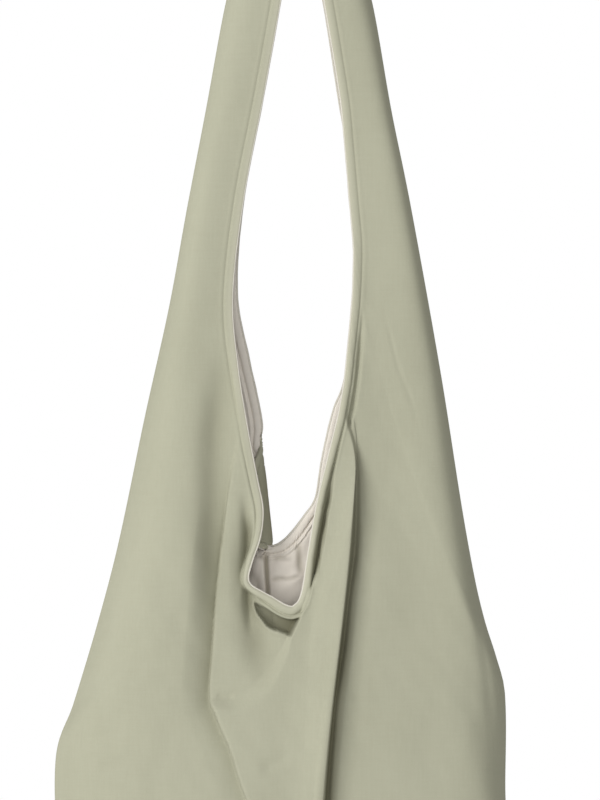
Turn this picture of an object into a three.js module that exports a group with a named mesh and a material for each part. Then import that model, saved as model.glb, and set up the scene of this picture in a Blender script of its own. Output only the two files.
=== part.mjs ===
// A slouchy crossbody bag of soft canvas with a pale lining, hanging by its strap.
// Two ring-shaped canvas panels, front and back, meet along one seam that runs
// round the whole ring: over the crown of the strap, down the left arm, round the
// pouch and up the right arm. Inside each panel hangs a lining of the same outline,
// whose rolled edge shows as a pale line along the opening.
//
// Millimetres, +Z up, the front faces -Y. The origin is the underside of the strap's
// crown, where a shoulder or a peg carries the bag.
import * as THREE from "three";

// Driving sizes
const mouthDrop = 714; // crown of the strap down to the foot of the front hem
const pouchHeight = 335; // foot of the front hem down to the bottom seam
const bodyWidth = 420; // across the hips of the pouch
const mouthWidth = 106; // widest gap between the two arms of the strap
const strapWidth = 50; // one arm of the strap, folded along its seam
const frontDepth = 50; // the front belly, measured from the seam
const backDepth = 40; // the back belly, measured from the seam
const canvasThickness = 1.4;
const liningThickness = 1.0;
const plyGap = 0.8; // between the canvas and its lining
const seamGap = 0.3; // between the two panels where they are sewn
const hemWidth = 8; // turned and topstitched edge of the opening
const hemPuff = 1.2; // how far the turned edge stands above the panel
const hemGroove = 0.3; // how deep the topstitches pull the cloth in
const liningLip = 1.9; // how far the lining's rolled edge passes the canvas
const lipGap = 0.4; // between that rolled edge and the edge of the canvas
const crestBow = 17; // how far the front fold bows to the right below the hem
const crestDraw = 17; // how much cloth is drawn in beside it
const crestHeight = 13; // how far the front fold stands forward
const shelfHeight = 12; // how far the lower centre fold stands forward
const shelfEdge = 8; // how soft that fold's left edge is
const shelfRamp = 10; // how soft its upper edge is
const rollReach = 40; // width of the back rim that is rolled in
const rollDepth = 14; // how far forward it is rolled

const wallThickness = canvasThickness + plyGap + liningThickness;

// Stations run once round the ring: 0 and 100 are the crown, 15 to 27 the left arm,
// 38 the left hip, 43 to 63 the bottom seam, 70 the right hip and 81 to 90 the right arm.
const lap = 100;

// A column called down is 0 at the crown, 1 at the foot of the front hem and 2 at the
// bottom seam. x is a sum of shares of the mouth, the strap and the body.
// columns: at, mouth, strap, body, down
const seamRows = [
  [0, 0, 0, 0, 0],
  [4, 0, -0.5, 0, 0.022],
  [8, 0, -0.91, 0, 0.082],
  [12, -0.08, -1.03, 0, 0.149],
  [15, -0.183, -1.036, 0, 0.214],
  [19, -0.34, -1.03, 0, 0.343],
  [23, -0.51, -1.02, 0, 0.473],
  [27, -0.605, -1.166, 0, 0.606],
  [30, 0, 0, -0.344, 0.747],
  [33, 0, 0, -0.403, 0.913],
  [35, 0, 0, -0.447, 1.036],
  [37, 0, 0, -0.502, 1.262],
  [38.5, 0, 0, -0.546, 1.41],
  [40, 0, 0, -0.54, 1.671],
  [41.5, 0, 0, -0.498, 1.89],
  [43, 0, 0, -0.39, 1.98],
  [45, 0, 0, -0.214, 1.997],
  [47, 0, 0, -0.121, 2],
  [51, 0, 0, -0.07, 2],
  [56, 0, 0, -0.012, 2],
  [58, 0, 0, 0.01, 2],
  [60, 0, 0, 0.03, 2],
  [61.5, 0, 0, 0.085, 2],
  [63.5, 0, 0, 0.225, 1.995],
  [65, 0, 0, 0.37, 1.96],
  [66.5, 0, 0, 0.449, 1.77],
  [68.5, 0, 0, 0.453, 1.478],
  [70, 0, 0, 0.452, 1.23],
  [71.5, 0, 0, 0.408, 1.039],
  [73.5, 0, 0, 0.358, 0.872],
  [77, 0.445, 1.712, 0, 0.693],
  [81, 0.419, 1.206, 0, 0.473],
  [85, 0.305, 1.074, 0, 0.343],
  [89, 0.192, 0.993, 0, 0.214],
  [92, 0.08, 0.99, 0, 0.149],
  [95, 0, 0.87, 0, 0.082],
  [97.5, 0, 0.5, 0, 0.022],
];

// The edge of the opening on the front panel.
// columns: at, mouth, down
const frontRimRows = [
  [0, 0, 0.043],
  [4, -0.06, 0.053],
  [8, -0.1, 0.088],
  [12, -0.128, 0.149],
  [15, -0.176, 0.202],
  [19, -0.335, 0.333],
  [23, -0.503, 0.462],
  [27, -0.6, 0.589],
  [30, -0.556, 0.676],
  [33, -0.459, 0.767],
  [35, -0.379, 0.828],
  [37, -0.331, 0.867],
  [38.5, -0.353, 0.901],
  [40, -0.423, 0.932],
  [41.5, -0.459, 0.953],
  [43, -0.432, 0.964],
  [45, -0.335, 0.973],
  [47, -0.247, 0.98],
  [51, -0.115, 0.991],
  [54, -0.04, 0.99],
  [56, 0.026, 0.972],
  [57, 0.079, 0.923],
  [58, 0.159, 0.856],
  [59, 0.256, 0.796],
  [60, 0.335, 0.749],
  [61.5, 0.37, 0.723],
  [63.5, 0.397, 0.698],
  [65, 0.423, 0.661],
  [66.5, 0.441, 0.635],
  [68.5, 0.459, 0.605],
  [70, 0.472, 0.579],
  [71.5, 0.476, 0.557],
  [73.5, 0.481, 0.526],
  [77, 0.463, 0.491],
  [81, 0.432, 0.453],
  [85, 0.362, 0.333],
  [89, 0.22, 0.204],
  [92, 0.14, 0.141],
  [95, 0.1, 0.084],
  [97.5, 0.055, 0.051],
];

// The edge of the opening on the back panel, and how much of it is rolled in.
// columns: at, mouth, down, roll
const backRimRows = [
  [0, 0, 0.043, 0],
  [4, -0.06, 0.053, 0],
  [8, -0.1, 0.088, 0],
  [12, -0.138, 0.149, 0],
  [15, -0.195, 0.202, 0],
  [19, -0.355, 0.333, 0],
  [23, -0.52, 0.476, 0],
  [27, -0.538, 0.589, 0],
  [30, -0.432, 0.671, 0],
  [33, -0.326, 0.753, 0],
  [34, -0.25, 0.776, 0.45],
  [35, -0.13, 0.799, 0.9],
  [37, -0.053, 0.845, 1],
  [38.5, -0.06, 0.88, 0.85],
  [40, -0.15, 0.902, 0.4],
  [41.5, -0.26, 0.914, 0.05],
  [43, -0.26, 0.914, 0],
  [45, -0.212, 0.909, 0],
  [51, -0.088, 0.893, 0],
  [56, 0.053, 0.87, 0],
  [60, 0.141, 0.842, 0],
  [63.5, 0.185, 0.805, 0],
  [66.5, 0.229, 0.773, 0],
  [70, 0.3, 0.731, 0],
  [73.5, 0.379, 0.694, 0],
  [77, 0.441, 0.622, 0],
  [81, 0.438, 0.471, 0],
  [85, 0.335, 0.333, 0],
  [89, 0.195, 0.204, 0],
  [92, 0.13, 0.141, 0],
  [95, 0.098, 0.084, 0],
  [97.5, 0.055, 0.051, 0],
];

// How far each panel stands from the seam, as shares of its depth: at the rim, and in
// the belly below it. A higher turn makes the cloth come round to the seam later.
// columns: at, rim, belly, turn
const frontBulgeRows = [
  [0, 0.66, 0.6, 2],
  [8, 0.5, 0.45, 2.2],
  [15, 0.3, 0.3, 2.6],
  [23, 0.24, 0.3, 3],
  [27, 0.3, 0.4, 3],
  [33, 0.5, 0.7, 3],
  [38.5, 0.68, 0.9, 3.4],
  [43, 0.8, 1, 5],
  [51, 0.86, 1, 6],
  [56, 0.8, 1, 6],
  [60, 0.55, 0.95, 6],
  [65, 0.42, 0.85, 4],
  [71.5, 0.34, 0.65, 3],
  [77, 0.28, 0.4, 3],
  [85, 0.24, 0.3, 3],
  [92, 0.4, 0.4, 2.4],
  [97, 0.6, 0.55, 2],
];
const backBulgeRows = [
  [0, 0.82, 0.75, 2],
  [8, 0.62, 0.55, 2.2],
  [15, 0.37, 0.37, 2.6],
  [23, 0.3, 0.37, 3],
  [27, 0.35, 0.5, 3],
  [33, 0.42, 0.7, 3],
  [38.5, 0.42, 0.9, 3.4],
  [45, 0.4, 1, 6],
  [56, 0.4, 1, 6],
  [66.5, 0.4, 1, 4],
  [73.5, 0.36, 0.7, 3],
  [81, 0.3, 0.4, 3],
  [89, 0.37, 0.4, 2.6],
  [97, 0.75, 0.7, 2],
];

// The front fold: a crest that laps over a valley to its right. The bow moves the whole
// fold aside, the draw gathers the cloth beside it, and the height lifts or sinks it.
// columns: at, bow, draw, height
const crestRows = [
  [0, 0, 0, 0],
  [51, 0, 0, 0],
  [54, 0.1, 0, 0],
  [56, 0.4, 0, 0],
  [58, 0.75, 0, 0.35],
  [59.2, 0.93, 0.05, 0.82],
  [60, 1, 0.1, 1],
  [60.5, 1, 0.05, 0.88],
  [61.2, 0.96, -0.26, 0.27],
  [62, 0.85, -0.72, -0.3],
  [63, 0.62, -0.8, -0.42],
  [64.5, 0.3, -0.35, -0.15],
  [66.5, 0, 0, 0],
];

// Soft dents, each along a line of four points seen from the front. The points are
// shares of body and down, the width is a share of the body's width, and the depth is a
// share of the panel's own depth.
const frontDents = [
  { path: [[-0.174, 0.694], [-0.196, 0.84], [-0.2, 1.0], [-0.222, 1.26]], width: 0.033, depth: 0.18 },
  { path: [[-0.123, 0.85], [-0.118, 0.92], [-0.122, 0.98], [-0.085, 1.05]], width: 0.021, depth: 0.07 },
  { path: [[-0.085, 0.993], [-0.06, 1.01], [-0.03, 1.03], [0, 1.03]], width: 0.031, depth: 0.1 },
  { path: [[-0.483, 1.34], [-0.47, 1.39], [-0.45, 1.42], [-0.43, 1.45]], width: 0.026, depth: 0.08 },
  { path: [[0.19, 0.9], [0.2, 1.2], [0.21, 1.5], [0.2, 1.8]], width: 0.071, depth: 0.1 },
  { path: [[0.396, 0.97], [0.412, 1.11], [0.428, 1.3], [0.44, 1.5]], width: 0.021, depth: 0.032 },
];
const backDents = [
  { path: [[-0.2, 0.9], [-0.21, 1.1], [-0.2, 1.4], [-0.16, 1.7]], width: 0.052, depth: 0.2 },
  { path: [[0.02, 0.95], [0.03, 1.2], [0.05, 1.5], [0.06, 1.8]], width: 0.043, depth: 0.175 },
  { path: [[0.22, 0.8], [0.26, 1.1], [0.28, 1.4], [0.27, 1.75]], width: 0.048, depth: 0.175 },
];

// The lower centre fold, a shelf of cloth between a left edge and an upper edge.
// columns: body, down
const shelfLeft = [
  [-0.185, 0.98],
  [-0.194, 1.17],
  [-0.198, 1.24],
  [-0.158, 1.38],
  [-0.116, 1.51],
  [-0.06, 1.75],
];
const shelfTop = [[0.02, 0.97], [-0.029, 1.09], [-0.089, 1.19], [-0.151, 1.265], [-0.21, 1.25]];

// Smooth closed interpolation of a table whose first column is the station.
function along(rows) {
  const count = rows.length;
  const wrap = (i) => {
    const turn = Math.floor(i / count);
    const row = rows[i - turn * count];
    return { at: row[0] + turn * lap, row };
  };
  return (at) => {
    const s = ((at % lap) + lap) % lap;
    let i = 0;
    while (i + 1 < count && rows[i + 1][0] <= s) i += 1;
    const [a, b, c, d] = [wrap(i - 1), wrap(i), wrap(i + 1), wrap(i + 2)];
    const h = c.at - b.at;
    const t = (s - b.at) / h;
    return b.row.slice(1).map((_, k) => {
      const [p, q, r, w] = [a.row[k + 1], b.row[k + 1], c.row[k + 1], d.row[k + 1]];
      const m0 = ((r - p) / (c.at - a.at)) * h;
      const m1 = ((w - q) / (d.at - b.at)) * h;
      const t2 = t * t;
      const t3 = t2 * t;
      return (2 * t3 - 3 * t2 + 1) * q + (t3 - 2 * t2 + t) * m0 + (3 * t2 - 2 * t3) * r + (t3 - t2) * m1;
    });
  };
}

const seamAt = along(seamRows);
const frontRimAt = along(frontRimRows);
const backRimAt = along(backRimRows);
const frontBulgeAt = along(frontBulgeRows);
const backBulgeAt = along(backBulgeRows);
const crestAt = along(crestRows);

// 0 where x is a, 1 where it is b, and smooth between them, whichever is the larger.
const smooth = (a, b, x) => THREE.MathUtils.smoothstep((x - a) / (b - a), 0, 1);

// Height of a row of the tables.
function heightOf(down) {
  const above = mouthDrop * Math.min(down, 1);
  const below = pouchHeight * Math.max(down - 1, 0);
  return wallThickness - above - below;
}

// Nearest point on a line of points: distance, side (right of the line is positive)
// and the share of the line's length at which it lies.
function nearLine(points, x, z) {
  let best = { gap: Infinity, side: 1, share: 0 };
  const last = points.length - 1;
  for (let i = 0; i < last; i += 1) {
    const [ax, az] = points[i];
    const [dx, dz] = [points[i + 1][0] - ax, points[i + 1][1] - az];
    const raw = ((x - ax) * dx + (z - az) * dz) / (dx * dx + dz * dz);
    const t = Math.min(1, Math.max(0, raw));
    const gap = Math.hypot(x - ax - t * dx, z - az - t * dz);
    if (gap < best.gap) {
      best = { gap, side: Math.sign((z - az) * dx - (x - ax) * dz) || 1, share: (i + t) / last };
    }
  }
  return best;
}

// A line table turned into a fine smooth line in millimetres.
function lineOf(pairs) {
  const curve = new THREE.CatmullRomCurve3(
    pairs.map(([body, down]) => new THREE.Vector3(body * bodyWidth, 0, heightOf(down))),
  );
  return curve.getPoints(16).map((p) => [p.x, p.z]);
}
const readyDents = (dents) => dents.map((dent) => ({ ...dent, line: lineOf(dent.path) }));
const frontDentLines = readyDents(frontDents);
const backDentLines = readyDents(backDents);
const shelfLeftLine = lineOf(shelfLeft);
const shelfTopLine = lineOf(shelfTop);

// Depth of the dents at a place, as a share of the panel's depth.
function dentShare(dents, x, z) {
  let total = 0;
  for (const { line, width, depth } of dents) {
    const { gap, share } = nearLine(line, x, z);
    const ends = smooth(0, 0.2, share) * smooth(1, 0.75, share);
    total += depth * Math.exp(-((gap / (width * bodyWidth)) ** 2)) * ends;
  }
  return total;
}

function shelfRise(x, z) {
  const left = nearLine(shelfLeftLine, x, z);
  const top = nearLine(shelfTopLine, x, z);
  const inFromLeft = smooth(-shelfEdge, shelfEdge, left.side * left.gap);
  const inFromTop = smooth(-shelfRamp, shelfRamp, top.side * top.gap);
  const fade = smooth(1, 0.45, left.share);
  return shelfHeight * inFromLeft * inFromTop * fade;
}

// A point of the outside of the front panel: station at, and share v from rim to seam.
function frontPoint(at, v) {
  const [mouth, strap, body, down] = seamAt(at);
  const [rimMouth, rimDown] = frontRimAt(at);
  const [rim, belly, turn] = frontBulgeAt(at);
  const [bow, draw, height] = crestAt(at);
  const seamX = mouth * mouthWidth + strap * strapWidth + body * bodyWidth;
  const hold = smooth(0, 0.2, v) * smooth(1, 0.8, v);
  const leave = 1 - (1 - Math.min(v / 0.11, 1)) ** 2;
  const bowed = bow * crestBow * leave * smooth(0.8, 0.1, v);
  const drawn = draw * crestDraw * hold * (0.35 + 0.65 * smooth(0.2, 0.6, v));
  const x = THREE.MathUtils.lerp(rimMouth * mouthWidth, seamX, v) + bowed + drawn;
  const z = THREE.MathUtils.lerp(heightOf(rimDown), heightOf(down), v);
  const stand = THREE.MathUtils.lerp(rim, belly, smooth(0, 0.8, v)) * frontDepth * (1 - v ** turn);
  const soft = smooth(1, 0.85, v) * smooth(0, 0.06, v);
  const crest = height * crestHeight * hold;
  const dents = dentShare(frontDentLines, x, z) * frontDepth * soft;
  const onShelf = at > 38 && at < 60 ? shelfRise(x, z) * soft * smooth(60, 57, at) : 0;
  return new THREE.Vector3(x, -(stand + crest - dents + onShelf) - seamGap / 2, z);
}

// The same for the back panel.
function backPoint(at, v) {
  const [mouth, strap, body, down] = seamAt(at);
  const [rimMouth, rimDown, roll] = backRimAt(at);
  const [rim, belly, turn] = backBulgeAt(at);
  const seamX = mouth * mouthWidth + strap * strapWidth + body * bodyWidth;
  const rolled = Math.max(0, 1 - v / 0.12);
  const x = THREE.MathUtils.lerp(rimMouth * mouthWidth, seamX, v) - roll * rollReach * rolled ** 2;
  const z = THREE.MathUtils.lerp(heightOf(rimDown), heightOf(down), v);
  const stand = THREE.MathUtils.lerp(rim, belly, smooth(0, 0.8, v)) * backDepth * (1 - v ** turn);
  const soft = smooth(1, 0.85, v) * smooth(0, 0.06, v);
  const dents = dentShare(backDentLines, x, z) * backDepth * soft;
  return new THREE.Vector3(x, stand - dents - roll * rollDepth * rolled + seamGap / 2, z);
}

// Stations of the mesh: close together where the cloth folds, wide apart elsewhere.
// columns: from, to, steps
const frontRuns = [
  [0, 12, 6],
  [12, 29, 7],
  [29, 38.5, 10],
  [38.5, 50, 15],
  [50, 56, 4],
  [56, 64, 21],
  [64, 70, 5],
  [70, 77, 4],
  [77, 89, 4],
  [89, 100, 6],
];
const backRuns = [
  [0, 12, 6],
  [12, 29, 7],
  [29, 38.5, 11],
  [38.5, 44, 6],
  [44, 61, 6],
  [61, 70, 9],
  [70, 77, 4],
  [77, 89, 4],
  [89, 100, 6],
];
const frontShares = [0, 0.05, 0.11, 0.18, 0.27, 0.38, 0.51, 0.65, 0.78, 0.9, 1];
const backShares = [0, 0.04, 0.08, 0.13, 0.22, 0.38, 0.58, 0.78, 0.91, 1];

const stationsOf = (runs) =>
  runs.flatMap(([from, to, steps]) =>
    Array.from({ length: steps }, (_, i) => from + ((to - from) * i) / steps),
  );

// A panel's outside face on its grid of stations and shares, with the direction out of
// the cloth at every point, and the direction past the rim at its edge.
function sheetOf(point, runs, shares, side) {
  const stations = stationsOf(runs);
  const around = stations.length;
  const last = shares.length - 1;
  const points = shares.map((v) => stations.map((at) => point(at, v)));
  const out = points.map((row, j) =>
    row.map((_, i) => {
      const round = row[(i + 1) % around].clone().sub(row[(i + around - 1) % around]);
      const down = points[Math.min(j + 1, last)][i].clone().sub(points[Math.max(j - 1, 0)][i]);
      return new THREE.Vector3().crossVectors(down, round).multiplyScalar(side).normalize();
    }),
  );
  const [rim, next] = points;
  const inward = rim.map((p, i) => {
    const round = rim[(i + 1) % around].clone().sub(rim[(i + around - 1) % around]);
    return new THREE.Vector3().crossVectors(round, out[0][i]).multiplyScalar(-side).normalize();
  });
  const fall = rim.map((p, i) => next[i].clone().sub(p));
  return { points, out, inward, fall, last, side };
}

const front = sheetOf(frontPoint, frontRuns, frontShares, 1);
const back = sheetOf(backPoint, backRuns, backShares, -1);

// One row of a sheet sunk by a depth under its outside face. The row at the seam keeps
// to the plane between the panels, and no row passes that plane.
function under(sheet, j, depth, beyond = 0) {
  const limit = seamGap / 2;
  return sheet.points[j].map((p, i) => {
    const out = sheet.out[j][i];
    const point = p.clone();
    if (j === sheet.last) {
      const flat = new THREE.Vector3(out.x, 0, out.z);
      const run = Math.max(flat.length(), 0.5);
      return point.addScaledVector(flat.normalize(), -depth / run);
    }
    point.addScaledVector(out, -depth).addScaledVector(sheet.inward[i], beyond);
    if (point.y * sheet.side > -limit) point.y = -limit * sheet.side;
    return point;
  });
}

// A row between the rim and the next row, a given length square to the rim.
function nearRim(sheet, length, depth) {
  return sheet.points[0].map((p, i) => {
    const reach = -sheet.fall[i].dot(sheet.inward[i]);
    const share = Math.min(length / reach, (0.85 * length) / hemWidth);
    return p.clone().addScaledVector(sheet.fall[i], share).addScaledVector(sheet.out[0][i], -depth);
  });
}

// A closed wall from the rows of a sheet's outside face and of its inside face, which go
// once round the cloth's thickness. The ring of stations closes on itself, and both
// faces split their four-sided cells along the same diagonal.
function wallFrom(outside, inside, flip) {
  const geometry = new THREE.BufferGeometry();
  const rows = [...outside, ...inside];
  const across = rows.length;
  const around = rows[0].length;
  const positions = new Float32Array(across * around * 3);
  rows.forEach((row, j) => row.forEach((p, i) => p.toArray(positions, (j * around + i) * 3)));
  const index = [];
  for (let j = 0; j < across; j += 1) {
    const next = (j + 1) % across;
    for (let i = 0; i < around; i += 1) {
      const k = (i + 1) % around;
      const [a, b, c, d] = [j * around + i, j * around + k, next * around + k, next * around + i];
      const cell = j < outside.length ? [a, b, c, a, c, d] : [a, b, d, b, c, d];
      index.push(...(flip ? cell.reverse() : cell));
    }
  }
  geometry.setAttribute("position", new THREE.BufferAttribute(positions, 3));
  geometry.setIndex(index);
  geometry.computeVertexNormals();
  return geometry;
}

// Rows of a sheet from its rim down to the seam, or back up again.
const downRows = (sheet, depth, first) =>
  sheet.points.slice(first).map((_, j) => under(sheet, j + first, depth));
const upRows = (sheet, depth) => downRows(sheet, depth, 1).reverse();

function canvasWall(sheet) {
  return wallFrom(
    [
      nearRim(sheet, lipGap, -hemPuff * 0.6),
      nearRim(sheet, hemWidth * 0.4, -hemPuff),
      nearRim(sheet, hemWidth * 0.85, -hemPuff),
      nearRim(sheet, hemWidth, hemGroove),
      ...downRows(sheet, 0, 1),
    ],
    [...upRows(sheet, canvasThickness), under(sheet, 0, canvasThickness)],
    sheet.side > 0,
  );
}

function liningWall(sheet) {
  const outside = canvasThickness + plyGap;
  return wallFrom(
    [
      under(sheet, 0, canvasThickness * 0.25, liningLip),
      under(sheet, 0, canvasThickness * 0.25, lipGap),
      under(sheet, 0, outside, lipGap),
      ...downRows(sheet, outside, 1),
    ],
    [...upRows(sheet, wallThickness), under(sheet, 0, wallThickness, liningLip)],
    sheet.side > 0,
  );
}

function piece(name, geometry, color, roughness) {
  const mesh = new THREE.Mesh(
    geometry,
    new THREE.MeshStandardMaterial({ color, roughness, metalness: 0, side: THREE.FrontSide }),
  );
  mesh.name = name;
  return mesh;
}

const bag = new THREE.Group();
bag.name = "crossbody_bag";
bag.add(
  piece("front_panel", canvasWall(front), 0xb1b096, 0.9),
  piece("back_panel", canvasWall(back), 0xb1b096, 0.9),
  piece("front_lining", liningWall(front), 0xd0c3b4, 0.92),
  piece("back_lining", liningWall(back), 0xd0c3b4, 0.92),
);

export default bag;
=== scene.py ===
"""A slouchy crossbody bag of sage canvas with a pale cotton lining, hanging by its strap.

Metres, +Z up, the front faces -Y, and the origin is the underside of the strap's crown.
"""

import bpy
import numpy as np
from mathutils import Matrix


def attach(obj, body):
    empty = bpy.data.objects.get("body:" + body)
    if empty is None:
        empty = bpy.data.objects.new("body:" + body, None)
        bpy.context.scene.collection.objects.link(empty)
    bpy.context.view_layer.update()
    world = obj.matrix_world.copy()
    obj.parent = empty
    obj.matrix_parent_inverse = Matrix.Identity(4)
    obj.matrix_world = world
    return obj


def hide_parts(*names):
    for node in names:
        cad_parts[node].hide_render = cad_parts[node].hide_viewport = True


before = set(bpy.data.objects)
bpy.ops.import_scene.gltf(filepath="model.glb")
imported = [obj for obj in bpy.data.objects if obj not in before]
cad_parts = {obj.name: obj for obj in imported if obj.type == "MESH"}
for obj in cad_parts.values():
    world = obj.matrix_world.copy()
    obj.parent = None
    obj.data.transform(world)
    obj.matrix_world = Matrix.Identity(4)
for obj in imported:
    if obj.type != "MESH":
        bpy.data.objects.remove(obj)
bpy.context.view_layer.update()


# The front panel, of sage cotton canvas. It is a ring-shaped piece of cloth whose outer
# edge is sewn to the back panel and whose inner edge is the opening, turned over and
# topstitched about 7 mm in. A deep fold starts at the right side of the opening.
mouth_drop, pouch_height, body_width = 0.714, 0.335, 0.420
mouth_width, strap_width, front_depth = 0.106, 0.050, 0.050
canvas_thickness, ply_gap, lining_thickness = 0.0014, 0.0008, 0.0010
wall = canvas_thickness + ply_gap + lining_thickness
hem_width, hem_puff, groove_depth = 0.0075, 0.0013, 0.0011
crest_bow, crest_draw, crest_height = 0.017, 0.017, 0.0105
lap = 100.0  # stations once round the ring, from the crown down the left arm and back

# columns: station, then shares of the mouth, the strap and the body in x, and down
seam_rows = [
    (0, 0, 0, 0, 0), (4, 0, -0.5, 0, 0.022), (8, 0, -0.91, 0, 0.082),
    (12, -0.08, -1.04, 0, 0.149), (15, -0.183, -1.05, 0, 0.214), (19, -0.34, -1.055, 0, 0.343),
    (23, -0.51, -1.05, 0, 0.473), (27, -0.605, -1.195, 0, 0.606), (30, 0, 0, -0.348, 0.747),
    (33, 0, 0, -0.407, 0.913), (35, 0, 0, -0.453, 1.036), (37, 0, 0, -0.507, 1.262),
    (38.5, 0, 0, -0.546, 1.41), (40, 0, 0, -0.54, 1.671), (41.5, 0, 0, -0.498, 1.89),
    (43, 0, 0, -0.39, 1.98), (45, 0, 0, -0.214, 1.997), (47, 0, 0, -0.121, 2),
    (51, 0, 0, -0.07, 2), (56, 0, 0, -0.012, 2), (58, 0, 0, 0.01, 2), (60, 0, 0, 0.03, 2),
    (61.5, 0, 0, 0.085, 2), (63.5, 0, 0, 0.225, 1.995), (65, 0, 0, 0.37, 1.96),
    (66.5, 0, 0, 0.454, 1.77), (68.5, 0, 0, 0.459, 1.478), (70, 0, 0, 0.458, 1.23),
    (70.7, 0, 0, 0.438, 1.129), (71.35, 0, 0, 0.415, 1.039), (72.2, 0, 0, 0.393, 0.965),
    (73.7, 0, 0, 0.364, 0.872), (77, 0.445, 1.712, 0, 0.693),
    (81, 0.419, 1.206, 0, 0.473), (85, 0.305, 1.074, 0, 0.343), (89, 0.192, 0.993, 0, 0.214),
    (92, 0.08, 0.99, 0, 0.149), (95, 0, 0.87, 0, 0.082), (97.5, 0, 0.5, 0, 0.022),
]
# columns: station, share of the mouth in x, down
front_rim_rows = [
    (0, 0, 0.043), (4, -0.06, 0.053), (8, -0.1, 0.088), (12, -0.128, 0.149),
    (15, -0.176, 0.202), (19, -0.335, 0.333), (23, -0.503, 0.462), (27, -0.6, 0.589),
    (30, -0.556, 0.676), (33, -0.459, 0.767), (35, -0.379, 0.828), (37, -0.331, 0.867),
    (38.5, -0.353, 0.901), (40, -0.423, 0.932), (41.5, -0.459, 0.953), (43, -0.432, 0.964),
    (45, -0.335, 0.973), (47, -0.247, 0.98), (51, -0.115, 0.991), (54, -0.04, 0.99),
    (56, 0.026, 0.972), (57, 0.079, 0.923), (58, 0.159, 0.856), (59, 0.256, 0.796),
    (60, 0.335, 0.749), (61.5, 0.37, 0.723), (63.5, 0.397, 0.698), (65, 0.423, 0.661),
    (66.5, 0.441, 0.635), (68.5, 0.459, 0.605), (70, 0.472, 0.579), (71.5, 0.476, 0.557),
    (73.5, 0.479, 0.526), (77.5, 0.454, 0.481), (79, 0.441, 0.4625), (81, 0.423, 0.429),
    (83, 0.397, 0.384), (85, 0.364, 0.333),
    (89, 0.22, 0.204), (92, 0.14, 0.141), (95, 0.1, 0.084), (97.5, 0.055, 0.051),
]
# columns: station, depth at the rim, depth in the belly, and how late the cloth turns in
front_bulge_rows = [
    (0, 0.66, 0.6, 2), (8, 0.5, 0.45, 2.4), (15, 0.3, 0.3, 5), (23, 0.24, 0.3, 6),
    (27, 0.3, 0.4, 5.5), (33, 0.5, 0.7, 4.4), (38.5, 0.62, 0.9, 3.6), (43, 0.7, 1, 5),
    (51, 0.74, 1, 6), (56, 0.7, 1, 6), (60, 0.52, 0.95, 6), (65, 0.42, 0.85, 7.5),
    (71.5, 0.34, 0.62, 11), (77, 0.28, 0.4, 11), (85, 0.24, 0.3, 8), (92, 0.4, 0.4, 4.5),
    (97, 0.6, 0.55, 2.2),
]
# columns: station, bow aside, draw aside, height of the deep fold
crest_rows = [
    (0, 0, 0, 0), (51, 0, 0, 0), (54, 0.1, 0, 0.05), (56, 0.4, 0, 0.25), (58, 0.75, 0, 0.62),
    (59.2, 0.93, -0.08, 0.92), (60, 1, -0.12, 1), (60.5, 1, -0.2, 0.88),
    (61.2, 0.96, -0.45, 0.25), (62, 0.85, -0.72, -0.1), (63, 0.62, -0.8, -0.12),
    (64.5, 0.3, -0.35, -0.02), (66.5, 0, 0, 0),
]
# columns: station, how wide the hem lies
hem_share_rows = [
    (0, 1), (28, 1), (34, 0.88), (38.5, 0.7), (40.5, 0.6), (42, 0.62), (44, 0.78), (48, 1),
    (54, 1), (57, 0.9), (60, 0.85), (64, 0.85), (70, 0.92), (77, 1), (90, 1),
]
# Lines of the folds, in millimetres right of the middle and above the crown.
left_edge = [
    (-56, -542), (-60, -563), (-64, -585), (-67, -608), (-70, -636), (-74, -671), (-77, -702),
    (-80, -744), (-83, -787), (-78, -803), (-72, -818), (-64, -836), (-57, -859), (-49, -881),
    (-35, -914), (-14, -955),
]
plate_edge = [
    (42, -536), (37, -556), (31, -583), (28, -606), (25, -622), (22, -643), (19, -657),
    (16, -670), (11, -684), (6, -698), (1, -711), (-9, -731), (-15, -747), (-28, -770),
    (-44, -788), (-62, -795), (-80, -792),
]
pocket_edge = [
    (-47, -689), (-43, -699), (-40, -709), (-35, -716), (-28, -724), (-17, -728), (-4, -733),
]
crest_edge = [
    (41, -515), (43, -532), (47, -552), (50.5, -580), (50.5, -608), (50, -636), (48, -661),
    (42.5, -696), (38.5, -735), (34, -765), (29.5, -794), (27.5, -820), (25, -850), (23, -882),
    (21, -930), (20, -975),
]
# Soft dents: width and depth in millimetres, how much painted shade darkens them, then the points
# of the line.
soft_dents = [
    (13, 6, 0.24, [(-65, -454), (-72, -496), (-78, -542), (-80, -578), (-82, -615),
                   (-83, -660), (-84, -705), (-86, -745)]),
    (4.6, 7.0, 0.6, [(-52, -595), (-50, -620), (-48.5, -638), (-49, -661), (-48.5, -679),
                     (-47.5, -698), (-46, -718), (-45, -740)]),
    (12, 4.5, 0.34, [(-57, -600), (-53, -640), (-50, -670), (-48, -692), (-45, -712),
                     (-41, -735), (-36, -760), (-28, -788)]),
    (1.6, 1.8, 0, [(-77, -786), (-73, -787), (-66, -788), (-59, -787)]),
    (2.2, 0.5, 0, [(76, -425), (84, -455), (92, -486), (103, -514), (114, -551)]),
    (5, 1.5, 0, [(160, -689), (162, -703), (169, -738), (174, -773), (178, -809), (184, -863)]),
    (4, 2.0, 0, [(-203, -831), (-196, -829), (-187, -827), (-172, -826)]),
    (5, 1.5, 0, [(-190, -856), (-178, -853), (-166, -850), (-150, -848)]),
    (6, 1.2, 0, [(-39, -854), (-28, -850), (-18, -846), (-7, -842)]),
]
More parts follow.
